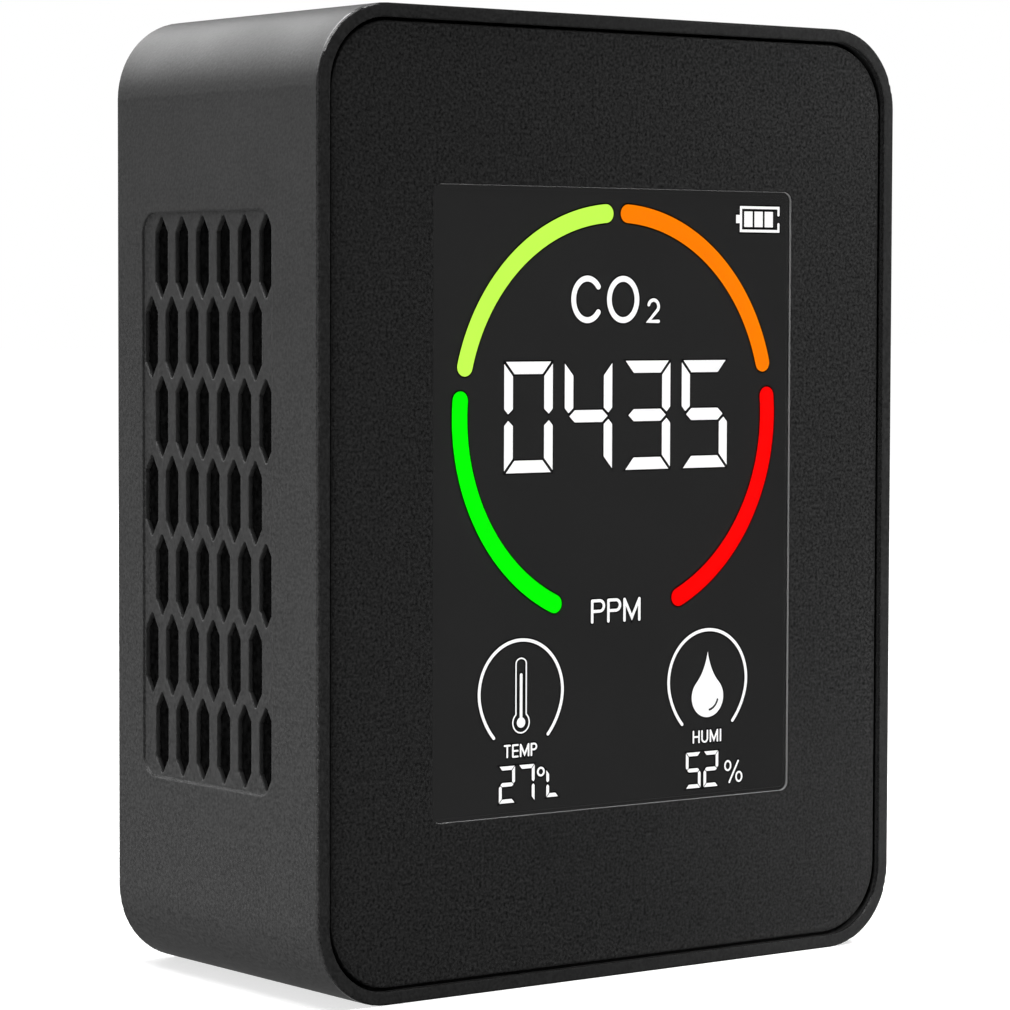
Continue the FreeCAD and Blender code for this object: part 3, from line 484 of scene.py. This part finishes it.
# Behind the lens come the lit symbols and then their mask, each a little apart from the one before.
SYMBOL_GAP = 0.02
SYMBOL_FRONT = LENS_FRONT + LENS_THICKNESS + SYMBOL_GAP
SYMBOL_THICKNESS = 0.02
MASK_GAP = 0.005
MASK_FRONT = SYMBOL_FRONT + SYMBOL_THICKNESS + MASK_GAP
MASK_THICKNESS = 0.01
MASK_GROW = 0.14

# How brightly the lit symbols glow, and the display levels of the unlit face and of the pale bead round the
# lens, whose pale colour is a painted highlight.
SYMBOL_GLOW = 1.1
FACE_LEVEL = 38
PAINTED_HIGHLIGHT_LEVEL = 120

# The picture sits a little to the right of the opening's middle.
PICTURE_X = 0.3

RING_CENTRE = (PICTURE_X, 52.98)
RING_HALF_W = 18.58
RING_HALF_H = 19.07
RING_WIDTH = 1.75

# The ring's four stretches: where each starts and ends, in degrees, and its colour.
RING_ARCS = {
    "orange": (14.9, 86.6, linear(255, 128, 0)),
    "lime": (94.7, 165.6, linear(197, 255, 84)),
    "green": (175.0, 246.1, linear(0, 255, 0)),
    "red": (293.9, 365.1, linear(255, 0, 0)),
}

DIGIT_W = 5.66
DIGIT_H = 10.3
DIGIT_STROKE = 1.0
DIGIT_PITCH = 7.09
DIGITS_BOTTOM = 47.87
READING = "0435"

DIAL_X = 11.29
DIAL_Z = 27.5
DIAL_RADIUS = 4.87
DIAL_END_RADIUS = 6.9
DIAL_STROKE = 0.31

# How far the dial's circle runs on below its centre, and how far its straighter ends then run, in degrees.
DIAL_BELOW = 15
DIAL_STRAIGHT = 27

LABEL_STROKE = 0.18
LABEL_HEIGHT = 1.25

# Which bars of a seven-bar digit are lit, in the order a to g: top, right, left and so on.
LIT_BARS = {
    "0": "abcdef",
    "2": "abged",
    "3": "abgcd",
    "4": "fgbc",
    "5": "afgcd",
    "7": "abc",
}


def seven_bars(left, bottom, width, height, stroke):
    """The outlines of a digit's seven bars, which meet at mitred ends with a narrow gap."""
    gap = 0.19 * stroke
    tall = 1.15 * stroke
    corner = 0.2 * stroke
    inner = stroke + gap
    middle = height / 2
    tip = 0.45 * stroke
    nose = 0.55 * stroke
    point = 0.3 * stroke
    shoulder = tall / 2 + gap

    def upright(mirror_x, mirror_z):
        points = [(0, height - corner), (stroke, height - tall - gap), (stroke, middle + shoulder),
                  (tip, middle + point), (0, middle + shoulder)]
        return [(width - x if mirror_x else x, height - z if mirror_z else z) for x, z in points]

    top = [(corner, height), (width - corner, height), (width - inner, height - tall), (inner, height - tall)]
    centre = [(nose, middle), (inner, middle + tall / 2), (width - inner, middle + tall / 2),
              (width - nose, middle), (width - inner, middle - tall / 2), (inner, middle - tall / 2)]
    bars = {
        "a": top,
        "b": upright(True, False),
        "c": upright(True, True),
        "d": [(x, height - z) for x, z in top],
        "e": upright(False, True),
        "f": upright(False, False),
        "g": centre,
    }
    return {name: Fill([(left + x, bottom + z) for x, z in points]) for name, points in bars.items()}


def digit(character, left, bottom, width, height, stroke):
    """The lit bars of one digit."""
    bars = seven_bars(left, bottom, width, height, stroke)
    return [bars[name] for name in LIT_BARS[character]]


def bar(start, end, width):
    return Stroke([start, end], width, False)


def rectangle(left, bottom, width, height):
    right, top = left + width, bottom + height
    return Fill([(left, bottom), (right, bottom), (right, top), (left, top)])


def letter(character, left, bottom, width, height, stroke):
    """The strokes of a plain capital letter in its box."""
    pen = stroke / 2
    x0, x1 = left + pen, left + width - pen
    z0, z1 = bottom + pen, bottom + height - pen
    middle_x = (x0 + x1) / 2
    middle_z = (z0 + z1) / 2
    wide = (x1 - x0) / 2
    tall = (z1 - z0) / 2
    upright = bar((x0, z0), (x0, z1), stroke)
    if character == "C":
        mouth = 38
        return [Stroke(arc((middle_x, middle_z), wide, mouth, 360 - mouth, height=tall), stroke, False)]
    if character == "O":
        return [Stroke(loop((middle_x, middle_z), wide, height=tall), stroke, True)]
    if character == "P":
        bowl_z = (z1 + middle_z) / 2
        bowl = arc((x1 - tall / 2, bowl_z), tall / 2, 90, -90)
        return [upright, Stroke([(x0, z1)] + bowl + [(x0, middle_z)], stroke, False)]
    if character == "M":
        far = bar((x1, z0), (x1, z1), stroke)
        dip = [(x0, z1), (middle_x, z0 + 0.25 * tall), (x1, z1)]
        return [upright, far, Stroke(dip, stroke, False)]
    if character == "T":
        return [bar((x0, z1), (x1, z1), stroke), bar((middle_x, z0), (middle_x, z1), stroke)]
    if character == "E":
        return [upright] + [bar((x0, z), (x1, z), stroke) for z in (z0, middle_z, z1)]
    if character == "H":
        return [upright, bar((x1, z0), (x1, z1), stroke), bar((x0, middle_z), (x1, middle_z), stroke)]
    if character == "U":
        base = arc((middle_x, z0 + wide), wide, 180, 360)
        return [Stroke([(x0, z1)] + base + [(x1, z1)], stroke, False)]
    # The letter left over is the I, a single upright.
    return [bar((middle_x, z0), (middle_x, z1), stroke)]


def word(letters, left, bottom, height, stroke, gap):
    """Letters side by side, each given with its own width."""
    shapes = []
    x = left
    for character, width in letters:
        shapes += letter(character, x, bottom, width, height, stroke)
        x += width + gap
    return shapes


def ring_arc(start, end):
    """One stretch of the coloured ring."""
    path = arc(RING_CENTRE, RING_HALF_W, start, end, steps=72, height=RING_HALF_H)
    return [Stroke(path, RING_WIDTH, False)]


def battery_symbol():
    """A battery lying on its side with three bars, its terminal to the left."""
    left, right = PICTURE_X + 14.85, PICTURE_X + 19.9
    bottom, top = 70.6, 72.85
    middle = (bottom + top) / 2
    pen, notch = 0.26, 0.45
    terminal_w, terminal_h = 0.35, 0.8
    bars, bar_w, bar_h, bar_pitch, first_bar = 3, 1.05, 1.5, 1.3, 0.68
    inner = left + pen
    case = [(right, middle + notch), (right, top), (inner, top), (inner, bottom), (right, bottom),
            (right, middle - notch)]
    shapes = [Stroke(case, pen, False)]
    shapes.append(rectangle(left - terminal_w, middle - terminal_h / 2, terminal_w + pen, terminal_h))
    for i in range(bars):
        shapes.append(rectangle(left + first_bar + i * bar_pitch, middle - bar_h / 2, bar_w, bar_h))
    return shapes


def gas_name():
    """CO and a small 2."""
    bottom = 61.72
    shapes = word([("C", 3.85), ("O", 3.9)], PICTURE_X - 5.65, bottom, height=4.45, stroke=0.56, gap=0.42)
    two_left, two_w, two_h, pen = PICTURE_X + 3.5, 1.55, 2.35, 0.33
    centre = (two_left + two_w / 2, bottom + two_h - two_w / 2)
    radius = two_w / 2 - pen / 2
    top = arc(centre, radius, 165, -30, steps=16)
    foot = bottom + pen / 2
    two = top + [(two_left + pen / 2, foot), (two_left + two_w - pen / 2, foot)]
    return shapes + [Stroke(two, pen, False)]


def reading():
    """The four large digits."""
    shapes = []
    first = PICTURE_X - 1.5 * DIGIT_PITCH - DIGIT_W / 2
    for i, character in enumerate(READING):
        shapes += digit(character, first + i * DIGIT_PITCH, DIGITS_BOTTOM, DIGIT_W, DIGIT_H, DIGIT_STROKE)
    return shapes


def unit_name():
    """PPM, below the large digits."""
    letters = [("P", 1.69), ("P", 1.69), ("M", 2.1)]
    return word(letters, PICTURE_X - 3.15, 33.48, height=2.28, stroke=0.29, gap=0.26)


def dial(centre):
    """An open circle whose two ends straighten out towards the bottom."""
    right_at = -DIAL_BELOW
    left_at = 180 + DIAL_BELOW
    upper = arc(centre, DIAL_RADIUS, left_at, right_at, steps=48)
    shift = DIAL_END_RADIUS - DIAL_RADIUS
    slope = math.radians(DIAL_BELOW)
    reach = shift * math.cos(slope)
    lift = shift * math.sin(slope)
    left_centre = (centre[0] + reach, centre[1] + lift)
    right_centre = (centre[0] - reach, centre[1] + lift)
    left_end = arc(left_centre, DIAL_END_RADIUS, left_at + DIAL_STRAIGHT, left_at, steps=10)
    right_end = arc(right_centre, DIAL_END_RADIUS, right_at, right_at - DIAL_STRAIGHT, steps=10)
    return [Stroke(left_end[:-1] + upper + right_end[1:], DIAL_STROKE, False)]


def thermometer(centre):
    """A thermometer in outline with its column and bulb filled."""
    x = centre[0]
    below, neck, tip_height, tip_pull = 2.82, 0.4, 0.55, 0.1
    bulb_radius, filled_radius = 0.96, 0.49
    length, column_height, half = 6.0, 4.45, 0.6
    glass_pen, column_pen = 0.14, 0.3
    bulb = (x, centre[1] - below)
    shoulder = bulb[1] + math.sqrt(bulb_radius ** 2 - half ** 2)
    straight = shoulder + neck
    top = bulb[1] + length
    rounded, steep = top - tip_height, top - tip_pull
    turn = math.degrees(math.acos(half / bulb_radius))
    around = arc(bulb, bulb_radius, turn, -180 - turn, steps=28)
    tip = bend((x - half, rounded), (x - half, steep), (x, top))
    tip += bend((x, top), (x + half, steep), (x + half, rounded))[1:]
    glass = around + [(x - half, straight)] + tip + [(x + half, straight)]
    column = bar((x, bulb[1]), (x, bulb[1] + column_height), column_pen)
    return [Stroke(glass, glass_pen, True), column, Fill(loop(bulb, filled_radius, steps=24))]


def drop(centre):
    """A water drop, round below and pointed on top."""
    x, z = centre
    radius = 1.98
    lean = radius * math.sqrt(0.5)
    tip = (x, z + 4.35)
    waist_x, waist_z = 0.35, z + 2.47
    body = arc(centre, radius, 135, 405, steps=40)
    right = bend((x + lean, z + lean), (x + waist_x, waist_z), tip)
    left = bend(tip, (x - waist_x, waist_z), (x - lean, z + lean))
    return [Fill(body + right[1:] + left[1:-1])]


def drop_highlight(centre):
    """A short dark arc inside the drop's lower right."""
    radius, pen = 1.28, 0.2
    return [Stroke(arc(centre, radius, -15, -79, steps=12), pen, False)]


def temperature_reading():
    """Two digits, a degree sign and a letter of which only the left and bottom bars are lit."""
    bottom, height, width, pitch, pen = 17.27, 3.44, 1.86, 2.3, 0.32
    degree_x, degree_z, degree_radius, degree_pen = 4.9, 2.66, 0.36, 0.2
    letter_x, letter_z, letter_w, letter_h = 5.55, 0.2, 1.45, 2.6
    left = PICTURE_X - 13.95
    shapes = digit("2", left, bottom, width, height, pen)
    shapes += digit("7", left + pitch, bottom, width, height, pen)
    degree = loop((left + degree_x, bottom + degree_z), degree_radius, steps=20)
    shapes.append(Stroke(degree, degree_pen, True))
    bars = seven_bars(left + letter_x, bottom + letter_z, letter_w, letter_h, pen)
    return shapes + [bars[name] for name in "fed"]


def humidity_reading():
    """Two digits and a per cent sign."""
    bottom, height, width, pitch, pen = 17.0, 3.46, 1.84, 2.22, 0.32
    noughts, nought_half_w, nought_half_h, nought_pen = ((0.0, 1.88), (1.42, 0.73)), 0.36, 0.45, 0.19
    slash_low, slash_high, slash_pen = (0.2, 0.26), (1.32, 2.27), 0.2
    left = PICTURE_X + 8.57
    sign = left + 5.28
    shapes = digit("5", left, bottom, width, height, pen)
    shapes += digit("2", left + pitch, bottom, width, height, pen)
    for x, z in noughts:
        nought = loop((sign + x, bottom + z), nought_half_w, steps=20, height=nought_half_h)
        shapes.append(Stroke(nought, nought_pen, True))
    slash = [(sign + x, bottom + z) for x, z in (slash_low, slash_high)]
    return shapes + [Stroke(slash, slash_pen, False)]


def show_picture():
    """Every lit symbol, and the black mask that shows as a thin dark line round each of them."""
    white = lit_symbol("symbol_white", grey(255), SYMBOL_GLOW)
    temperature_dial = (PICTURE_X - DIAL_X - 0.11, DIAL_Z)
    humidity_dial = (PICTURE_X + DIAL_X - 0.06, DIAL_Z - 0.15)
    drop_centre = (humidity_dial[0], DIAL_Z - 1.76)
    symbols = {
        "battery_symbol": battery_symbol(),
        "gas_name": gas_name(),
        "gas_reading": reading(),
        "gas_unit": unit_name(),
        "temperature_dial": dial(temperature_dial),
        "thermometer_symbol": thermometer(temperature_dial),
        "temperature_label": word([("T", 0.81), ("E", 0.75), ("M", 1.1), ("P", 0.76)],
                                  PICTURE_X - 13.4, 21.45, LABEL_HEIGHT, LABEL_STROKE, gap=0.16),
        "temperature_reading": temperature_reading(),
        "humidity_dial": dial(humidity_dial),
        "drop_symbol": drop(drop_centre),
        "humidity_label": word([("H", 0.88), ("U", 0.86), ("M", 1.06), ("I", 0.2)],
                               PICTURE_X + 9.4, 21.3, LABEL_HEIGHT, LABEL_STROKE, gap=0.2),
        "humidity_reading": humidity_reading(),
    }
    masked = []
    for name, shapes in symbols.items():
        flat_piece("display_" + name, shapes, white, SYMBOL_FRONT, SYMBOL_THICKNESS)
        masked += shapes
    for name, (start, end, colour) in RING_ARCS.items():
        shapes = ring_arc(start, end)
        lit = lit_symbol("symbol_" + name, colour, SYMBOL_GLOW)
        flat_piece("display_arc_" + name, shapes, lit, SYMBOL_FRONT, SYMBOL_THICKNESS)
        masked += shapes
    black = smooth_solid("mask_black", grey(4), 0.9)
    flat_piece("display_mask", masked, black, MASK_FRONT, MASK_THICKNESS, MASK_GROW)
    flat_piece("display_drop_highlight", drop_highlight(drop_centre), black,
               SYMBOL_FRONT - MASK_THICKNESS, MASK_THICKNESS / 2)


# ---- Lens and display face --------------------------------------------------------------------

def rounded_rectangle(low, high, radius, inset, steps=8):
    """A rounded rectangle in the display's plane, drawn inwards by an inset."""
    corners = ((high.x, high.z, 0), (low.x, high.z, 90), (low.x, low.z, 180), (high.x, low.z, 270))
    points = []
    for x, z, start in corners:
        inward_x = -1 if x == high.x else 1
        inward_z = -1 if z == high.z else 1
        centre = (x + inward_x * radius, z + inward_z * radius)
        points += arc(centre, radius - inset, start, start + 90, steps)
    return points


def loft(name, sections, material, ring=False):
    """A closed solid through outlines of equally many points, capped at its ends or bent into a ring."""
    mesh = bmesh.new()
    rings = [[mesh.verts.new(metres((x, depth, z))) for x, z in points] for points, depth in sections]
    if ring:
        rings.append(rings[0])
    else:
        mesh.faces.new(rings[0])
        mesh.faces.new(rings[-1][::-1])
    count = len(rings[0])
    for near, far in zip(rings, rings[1:]):
        for i in range(count):
            j = (i + 1) % count
            mesh.faces.new((near[j], near[i], far[i], far[j]))
    return finish_piece(name, mesh, material)


def display_lens():
    """The clear window, with its front edge just broken."""
    whole = rounded_rectangle(LENS_LOW, LENS_HIGH, LENS_CORNER_R, 0.0)
    face = rounded_rectangle(LENS_LOW, LENS_HIGH, LENS_CORNER_R, LENS_CHAMFER)
    sections = [(face, LENS_FRONT), (whole, LENS_FRONT + LENS_CHAMFER), (whole, LENS_FRONT + LENS_THICKNESS)]
    lens = loft("display_lens", sections, clear_solid("lens_clear", grey(255), 0.04, 1.45))
    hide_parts("display_window")


def display_highlight_bead():
    """A thin pale bead that slopes up from the lens to the edge of its opening. Its pale colour is a painted
    highlight that stands in for the light caught by the wall of the lens's recess, and the lamps shade it
    further.
    """
    gap = 0.045
    panel_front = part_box("front_panel")[0].y / MM
    outside = rounded_rectangle(LENS_LOW, LENS_HIGH, LENS_CORNER_R, -gap)
    inside = rounded_rectangle(LENS_LOW, LENS_HIGH, LENS_CORNER_R, 0.0)
    back = LENS_FRONT + LENS_THICKNESS
    sections = [(outside, back), (inside, back), (inside, LENS_FRONT), (outside, panel_front + gap)]
    # The bead's pale grey is a painted highlight for the lit wall of the recess round the lens.
    highlight_bead_finish = smooth_solid("highlight_bead_pale", grey(PAINTED_HIGHLIGHT_LEVEL), 0.5)
    loft("display_highlight_bead", sections, highlight_bead_finish, ring=True)


def display_face():
    """The unlit face of the display, and a border in the same finish that fills the lens to its edge."""
    clearance, behind_lens = 0.005, 0.01
    dark = dark_film("display_dark", FACE_LEVEL)
    outline = rounded_rectangle(FILM_LOW, FILM_HIGH, FILM_CORNER_R, 0.0)
    sections = [(outline, FILM_LOW.y), (outline, FILM_HIGH.y)]
    face = loft("display_face", sections, dark)
    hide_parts("lcd_front_polariser")
    inside = rounded_rectangle(FILM_LOW, FILM_HIGH, FILM_CORNER_R, -clearance)
    outside = rounded_rectangle(LENS_LOW, LENS_HIGH, LENS_CORNER_R, 0.0)
    front, back = LENS_FRONT + LENS_THICKNESS + behind_lens, FILM_HIGH.y
    border = [(outside, back), (inside, back), (inside, front), (outside, front)]
    loft("display_border", border, dark, ring=True)


# ---- Studio -----------------------------------------------------------------------------------

# The dome of light is bright towards the backdrop and dim elsewhere; it starts to brighten where a
# direction's agreement with the backdrop's is DOME_FAR and is brightest where it is DOME_NEAR.
BACKDROP_DIRECTION = (0.6, 0.8, 0.05)
DOME_DIM = 0.011
DOME_BRIGHT = 0.46
DOME_FAR, DOME_NEAR = 0.35, 0.95

# The floor's half width, its glow, and the distances from the middle between which the glow grows.
FLOOR_HALF = 4.0
FLOOR_DIM, FLOOR_BRIGHT = 0.6, 1.0
FLOOR_DIM_OUT_TO, FLOOR_BRIGHT_FROM = 0.1, 0.6


def floor_finish():
    """A pale matt floor that glows a little, and fully further out, where it meets the backdrop."""
    material, tree, shader = new_material("floor_pale")
    cloud = noise(tree, cell=60.0, detail=1.0)
    tree.links.new(between(tree, cloud, grey(205), grey(210)), shader.inputs["Base Color"])
    shader.inputs["Roughness"].default_value = 0.9
    shader.inputs["Specular IOR Level"].default_value = 0.0
    shader.inputs["Emission Color"].default_value = grey(255)
    place = tree.nodes.new("ShaderNodeTexCoord")
    distance = tree.nodes.new("ShaderNodeVectorMath")
    distance.operation = "LENGTH"
    fade = tree.nodes.new("ShaderNodeMapRange")
    fade.inputs["From Min"].default_value = FLOOR_DIM_OUT_TO
    fade.inputs["From Max"].default_value = FLOOR_BRIGHT_FROM
    fade.inputs["To Min"].default_value = FLOOR_DIM
    fade.inputs["To Max"].default_value = FLOOR_BRIGHT
    tree.links.new(place.outputs["Object"], distance.inputs[0])
    tree.links.new(distance.outputs["Value"], fade.inputs["Value"])
    tree.links.new(fade.outputs["Result"], shader.inputs["Emission Strength"])
    return material


def make_floor():
    """The plain floor: it takes the object's soft shadow, but sends no light back."""
    mesh = bmesh.new()
    ends = ((-1, -1), (1, -1), (1, 1), (-1, 1))
    mesh.faces.new([mesh.verts.new((x * FLOOR_HALF, y * FLOOR_HALF, 0.0)) for x, y in ends])
    data = bpy.data.meshes.new("floor")
    mesh.to_mesh(data)
    mesh.free()
    data.materials.append(floor_finish())
    floor = bpy.data.objects.new("floor", data)
    bpy.context.scene.collection.objects.link(floor)
    floor.visible_diffuse = False
    floor.visible_glossy = False
    floor.visible_transmission = False


def make_backdrop():
    """The world: white to the camera; for light, a soft dome that is brightest behind the object."""
    world = bpy.data.worlds.new("backdrop")
    bpy.context.scene.world = world
    world.use_nodes = True
    tree = world.node_tree
    background = tree.nodes["Background"]
    background.inputs["Color"].default_value = grey(255)
    place = tree.nodes.new("ShaderNodeTexCoord")
    facing = tree.nodes.new("ShaderNodeVectorMath")
    facing.operation = "DOT_PRODUCT"
    facing.inputs[1].default_value = BACKDROP_DIRECTION
    share = tree.nodes.new("ShaderNodeMapRange")
    share.interpolation_type = "SMOOTHSTEP"
    share.inputs["From Min"].default_value = DOME_FAR
    share.inputs["From Max"].default_value = DOME_NEAR
    share.inputs["To Min"].default_value = DOME_DIM
    share.inputs["To Max"].default_value = DOME_BRIGHT
    path = tree.nodes.new("ShaderNodeLightPath")
    choose = tree.nodes.new("ShaderNodeMix")
    choose.inputs["B"].default_value = 1.0
    tree.links.new(place.outputs["Generated"], facing.inputs[0])
    tree.links.new(facing.outputs["Value"], share.inputs["Value"])
    tree.links.new(path.outputs["Is Camera Ray"], choose.inputs["Factor"])
    tree.links.new(share.outputs["Result"], choose.inputs["A"])
    tree.links.new(choose.outputs["Result"], background.inputs["Strength"])


def softbox(name, place, target, size, watts, in_reflections=True, diffuse=True):
    """A rectangular light that shines from a place towards a target; places and sizes in metres."""
    data = bpy.data.lights.new(name, "AREA")
    data.shape = "RECTANGLE"
    data.size, data.size_y = size
    data.energy = watts
    light = bpy.data.objects.new(name, data)
    bpy.context.scene.collection.objects.link(light)
    light.location = place
    light.rotation_mode = "QUATERNION"
    light.rotation_quaternion = (Vector(target) - Vector(place)).to_track_quat("-Z", "Y")
    light.visible_camera = False
    light.visible_diffuse = diffuse
    light.visible_glossy = in_reflections
    light.visible_transmission = in_reflections


def make_lights():
    """Large soft lights behind and overhead, one that shows only as a reflection in the rim, and small weak
    ones that shade the side and the front."""
    middle = (0.0, 0.0, 0.045)
    softbox("rear_softbox", (0.0, 0.75, 0.5), middle, (0.5, 0.4), 3.0)
    softbox("rear_left_softbox", (-0.32, 0.72, 0.42), middle, (0.35, 0.3), 0.75)
    softbox("overhead_softbox", (-0.1, 0.05, 0.7), middle, (0.4, 0.4), 4.6)
    softbox("rim_softbox", (-0.33, -0.02, 0.5), (-0.03, -0.017, 0.085), (0.45, 0.3), 5.5, diffuse=False)
    softbox("left_fill", (-0.15, -0.005, 0.008), (-0.03, 0.0, 0.02), (0.2, 0.012), 0.62,
            in_reflections=False)
    softbox("upper_fill", (0.1, -0.08, 0.13), (0.02, -0.017, 0.07), (0.06, 0.03), 0.28,
            in_reflections=False)
    softbox("lower_fill", (0.06, -0.07, 0.006), (0.02, -0.017, 0.02), (0.04, 0.01), 0.065,
            in_reflections=False)


bpy.context.scene.view_settings.view_transform = "Standard"
make_camera()
make_floor()
make_backdrop()
make_lights()
paint_cad_nodes()
display_lens()
display_highlight_bead()
display_face()
show_picture()
